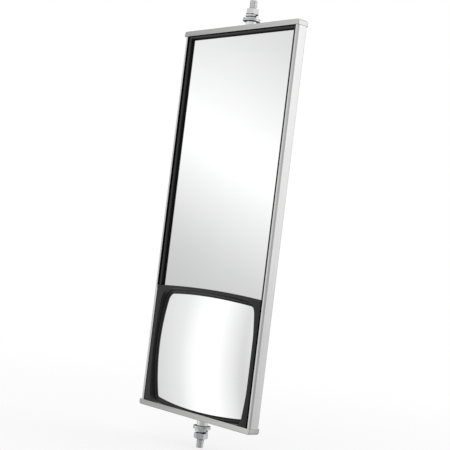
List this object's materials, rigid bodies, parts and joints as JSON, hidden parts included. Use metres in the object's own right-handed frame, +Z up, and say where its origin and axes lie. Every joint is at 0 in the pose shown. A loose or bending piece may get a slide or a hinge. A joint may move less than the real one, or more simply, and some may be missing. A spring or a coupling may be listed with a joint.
{
  "type": "towing mirror",
  "caption": "Tall rectangular towing mirror head: flat mirror over a smaller convex mirror in a folded stainless shell, with a threaded clamping stud at each end.",
  "frame": {"origin": "on the common axis of the two studs, half way between the end caps", "axes": "+Z up along the studs, -Y out of the face of the mirrors, +X to the right of someone looking at the glass"},
  "size_m": [0.1778, 0.0354, 0.4664],
  "materials": {
    "stainless_shell": "stainless sheet, brushed along the length",
    "stainless_cap": "stainless pressing, brushed, slightly polished on the bends",
    "flat_mirror": "silvered flat glass, polished",
    "convex_mirror": "silvered spherical glass, polished",
    "gasket_rubber": "matt black rubber channel",
    "bezel_moulding": "matt black moulded rubber",
    "board": "hardboard, hidden behind the glass",
    "foam": "closed-cell foam, hidden behind the glass",
    "zinc_steel": "steel with bright zinc plate",
    "rivet_aluminium": "plain aluminium"
  },
  "bodies": {
    "head": {"back_shell": "stainless_shell", "top_end_cap": "stainless_cap", "bottom_end_cap": "stainless_cap", "flat_glass": "flat_mirror", "flat_glass_gasket": "gasket_rubber", "convex_glass": "convex_mirror", "convex_bezel": "bezel_moulding", "backing_board": "board", "flat_backing_pad": "foam", "convex_backing_pad": "foam", "top_stud_plate": "zinc_steel", "bottom_stud_plate": "zinc_steel", "top_stud": "zinc_steel", "bottom_stud": "zinc_steel", "top_collar": "zinc_steel", "bottom_collar": "zinc_steel", "top_cap_rivets": "rivet_aluminium", "bottom_cap_rivets": "rivet_aluminium"},
    "top_inner_washer": {"top_inner_washer": "zinc_steel"},
    "top_clamp": {"top_lock_washer": "zinc_steel"},
    "top_outer_washer": {"top_outer_washer": "zinc_steel"},
    "top_nut": {"top_nut": "zinc_steel"},
    "bottom_inner_washer": {"bottom_inner_washer": "zinc_steel"},
    "bottom_clamp": {"bottom_lock_washer": "zinc_steel"},
    "bottom_outer_washer": {"bottom_outer_washer": "zinc_steel"},
    "bottom_nut": {"bottom_nut": "zinc_steel"}
  },
  "joints": [
    {"name": "top_inner_washer_spin", "type": "hinge", "parent": "head", "child": "top_inner_washer", "pos_m": [0, 0, 0.21145], "axis": [0, 0, 1], "continuous": true},
    {"name": "top_clamp_slide", "type": "slide", "parent": "head", "child": "top_clamp", "axis": [0, 0, 1], "range_m": [0, 0.0085]},
    {"name": "top_nut_spin", "type": "hinge", "parent": "top_clamp", "child": "top_nut", "pos_m": [0, 0, 0.2208], "axis": [0, 0, 1], "range_deg": [0, 2170]},
    {"name": "top_outer_washer_spin", "type": "hinge", "parent": "top_clamp", "child": "top_outer_washer", "pos_m": [0, 0, 0.2131], "axis": [0, 0, 1], "continuous": true},
    {"name": "bottom_inner_washer_spin", "type": "hinge", "parent": "head", "child": "bottom_inner_washer", "pos_m": [0, 0, -0.21145], "axis": [0, 0, -1], "continuous": true},
    {"name": "bottom_clamp_slide", "type": "slide", "parent": "head", "child": "bottom_clamp", "axis": [0, 0, -1], "range_m": [0, 0.0085]},
    {"name": "bottom_nut_spin", "type": "hinge", "parent": "bottom_clamp", "child": "bottom_nut", "pos_m": [0, 0, -0.2208], "axis": [0, 0, -1], "range_deg": [0, 2170]},
    {"name": "bottom_outer_washer_spin", "type": "hinge", "parent": "bottom_clamp", "child": "bottom_outer_washer", "pos_m": [0, 0, -0.2131], "axis": [0, 0, -1], "continuous": true}
  ],
  "couplings": [
    {"joint": "top_nut_spin", "follows": "top_clamp_slide", "rad_per_m": 4452.7},
    {"joint": "bottom_nut_spin", "follows": "bottom_clamp_slide", "rad_per_m": 4452.7}
  ]
}
